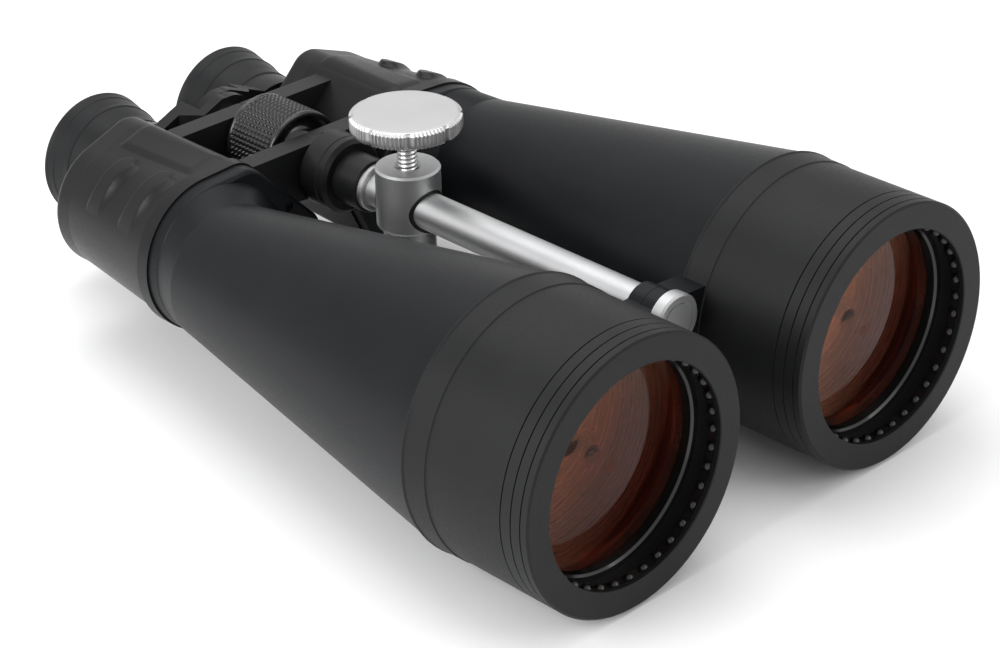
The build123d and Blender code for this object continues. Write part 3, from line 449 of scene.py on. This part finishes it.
def make_knob():
    """Thumbscrew knob: runs of fine upright flutes parted by smooth hollows, on a flat disc."""
    low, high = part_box("clamp_knob")
    radius = (high[0] - low[0]) / 2
    centre = Vector(((low[0] + high[0]) / 2, (low[1] + high[1]) / 2, 0))

    def relief(angle, along):
        share = (angle / tau * KNOB_RUNS) % 1.0
        if share < KNOB_HOLLOW:
            return -KNOB_HOLLOW_DEPTH * sin(pi * share / KNOB_HOLLOW) ** KNOB_HOLLOW_ROUNDING
        flute = (share - KNOB_HOLLOW) / (1 - KNOB_HOLLOW) * KNOB_FLUTES
        return -KNOB_FLUTE_DEPTH * (0.5 - 0.5 * cos(tau * flute))

    top, bottom = high[2], low[2]
    profile = [(KNOB_CENTRE, top, False)]
    profile += edge_rings(radius, top, -1, KNOB_TOP)
    profile += edge_rings(radius, top, -1, KNOB_TOP_FLUTED, textured=True)
    flank = frange(top - KNOB_FLANK[0], bottom + KNOB_FLANK[1], KNOB_FLANK_ROWS)
    profile += [(radius, z, True) for z in flank]
    profile += edge_rings(radius, bottom, 1, KNOB_BOTTOM_FLUTED, textured=True)
    profile += edge_rings(radius, bottom, 1, KNOB_BOTTOM)
    profile.append((KNOB_SEAT, bottom, False))
    knob = lathe("clamp_knob_fluted", "clamp_knob", Vector((0, 0, 1)), centre, profile,
                 KNOB_RUNS * KNOB_STEPS, relief)
    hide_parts("clamp_knob")


def make_stud():
    """Thumbscrew stud with a real thread form between the block and the collar under the knob."""
    low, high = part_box("clamp_stud")
    centre = Vector(((low[0] + high[0]) / 2, (low[1] + high[1]) / 2, 0))
    collar = (high[0] - low[0]) / 2
    collar_at = high[2] - STUD_COLLAR

    def relief(angle, along):
        phase = (along / THREAD_PITCH - angle / tau) % 1.0
        return -THREAD_DEPTH * abs(2 * phase - 1)

    profile = [(STUD_CENTRE, low[2], False), (STUD_RADIUS - THREAD_DEPTH, low[2], False)]
    rows = int((collar_at - low[2]) / THREAD_PITCH * THREAD_SAMPLES)
    profile += [(STUD_RADIUS, z, True) for z in frange(low[2], collar_at, rows)]
    profile += [
        (collar - STUD_CHAMFER[0], collar_at, False),
        (collar, collar_at + STUD_CHAMFER[1], False),
        (collar, high[2], False),
        (STUD_CENTRE, high[2], False),
    ]
    stud = lathe("clamp_stud_threaded", "clamp_stud", Vector((0, 0, 1)), centre, profile,
                 STUD_STEPS, relief)
    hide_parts("clamp_stud")


def smooth_step(value):
    """Eased 0..1 ramp."""
    value = min(1.0, max(0.0, value))
    return value * value * (3 - 2 * value)


def finger_rise(u, v):
    """Height share of a finger pad: rounded top end, crisp rear edge, soft front, fading downward."""
    across = 2 * v - 1
    reach = abs(across) if u > PAD_CAP else ((PAD_CAP - u) ** 2 / PAD_CAP ** 2 + across ** 2) ** 0.5
    edge = PAD_CRISP + (PAD_SOFT - PAD_CRISP) * smooth_step((PAD_TURN - across) / PAD_SOFT)
    return smooth_step((1 - reach) / edge) * smooth_step((1 - u) / PAD_FADE)


def strip_rise(u, v):
    """Height share of the top panel: eased at its two sides and at both ends."""
    across = smooth_step(u / STRIP_INNER_EASE) * smooth_step((1 - u) / STRIP_OUTER_EASE)
    along = smooth_step(v / STRIP_FRONT_EASE) * smooth_step((1 - v) / STRIP_REAR_EASE)
    return across * along


def add_pad(name, node, side, angles, stations, lean, height, rise):
    """Raised pad laid on the armour between two angles about the housing and two stations along
    it; lean is how far its first end stands ahead of its last."""
    mesh = frame["nodes"][node].data
    skin = BVHTree.FromPolygons([v.co for v in mesh.vertices], [tuple(p.vertices) for p in mesh.polygons])
    points = []
    for i in range(PAD_COLUMNS + 1):
        u = i / PAD_COLUMNS
        angle = radians(angles[0] + (angles[1] - angles[0]) * u)
        out = Vector((side * cos(angle), 0, sin(angle)))
        for j in range(PAD_ROWS + 1):
            v = j / PAD_ROWS
            y = stations[0] + (stations[1] - stations[0]) * v - lean * (1 - u)
            start = Vector((side * HOUSING_X, y, HOUSING_Z)) + out * PAD_REACH
            hit, normal, _, _ = skin.ray_cast(start, -out)
            if normal.dot(out) < 0:
                normal = -normal
            points.append(hit + normal * (height * rise(u, v) - PAD_SINK))
    faces = []
    for i in range(PAD_COLUMNS):
        for j in range(PAD_ROWS):
            a = i * (PAD_ROWS + 1) + j
            faces.append((a, a + PAD_ROWS + 1, a + PAD_ROWS + 2, a + 1))
    if side < 0:
        faces = [tuple(reversed(face)) for face in faces]
    new_piece(name, points, faces, node)


def make_pads(side, name):
    """The two finger pads and the bevelled top strip of one half's armour."""
    node = f"{name}_housing_armour"
    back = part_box(node)[1][1]
    for label, start, stop in FINGER_STATIONS:
        add_pad(f"{name}_finger_pad_{label}", node, side, FINGER_ANGLES,
                (back - start * MM, back - stop * MM), PAD_LEAN, FINGER_HEIGHT, finger_rise)
    start, stop = STRIP_STATIONS
    add_pad(f"{name}_top_strip", node, side, STRIP_ANGLES,
            (back - start * MM, back - stop * MM), 0.0, STRIP_HEIGHT, strip_rise)


# ------------------------------------------------------------------ stage
FLOOR_SIZE = 40.0
FLOOR_FINISH = dict(colour=grey(0.9), roughness=0.7, depth=0.0, mottle=0.0, spread=0.0)
SURROUND_STRENGTH = 0.9
LIGHT_AIM = Vector((0, 0, 0.05))
SOFTBOXES = {
    "top_softbox": dict(place=(0.1, 0.25, 1.1), size=0.9, power=5.5),
    "left_softbox": dict(place=(-1.2, 0.1, 0.7), size=0.8, power=13),
    "front_softbox": dict(place=(0.6, -1.3, 0.6), size=0.8, power=4),
}


def add_area(name, place, size, power):
    """Square soft light at a place, facing the middle of the object."""
    data = bpy.data.lights.new(name, "AREA")
    data.energy = power
    data.shape = "SQUARE"
    data.size = size
    light = bpy.data.objects.new(name, data)
    facing = (Vector(place) - LIGHT_AIM).to_track_quat("Z", "Y")
    light.matrix_world = Matrix.Translation(place) @ facing.to_matrix().to_4x4()
    bpy.context.scene.collection.objects.link(light)


def add_stage():
    """White floor and surround with three broad soft lights."""
    bpy.ops.mesh.primitive_plane_add(size=FLOOR_SIZE, location=(0, 0, cad_box[0][2]))
    floor_plane = bpy.context.object
    floor_plane.name = "floor"
    floor_plane.data.materials.append(finish_surface("floor_white", **FLOOR_FINISH))
    world = bpy.data.worlds.new("surround")
    world.use_nodes = True
    background = world.node_tree.nodes["Background"]
    background.inputs["Color"].default_value = WHITE
    background.inputs["Strength"].default_value = SURROUND_STRENGTH
    bpy.context.scene.world = world
    for name, settings in SOFTBOXES.items():
        add_area(name, **settings)
    bpy.context.scene.view_settings.view_transform = "Standard"


add_camera()
for node_name in frame["nodes"]:
    dress(node_name)
make_wheel()
make_knob()
make_stud()
for half_side, half_name in SIDES:
    make_pads(half_side, half_name)
add_stage()
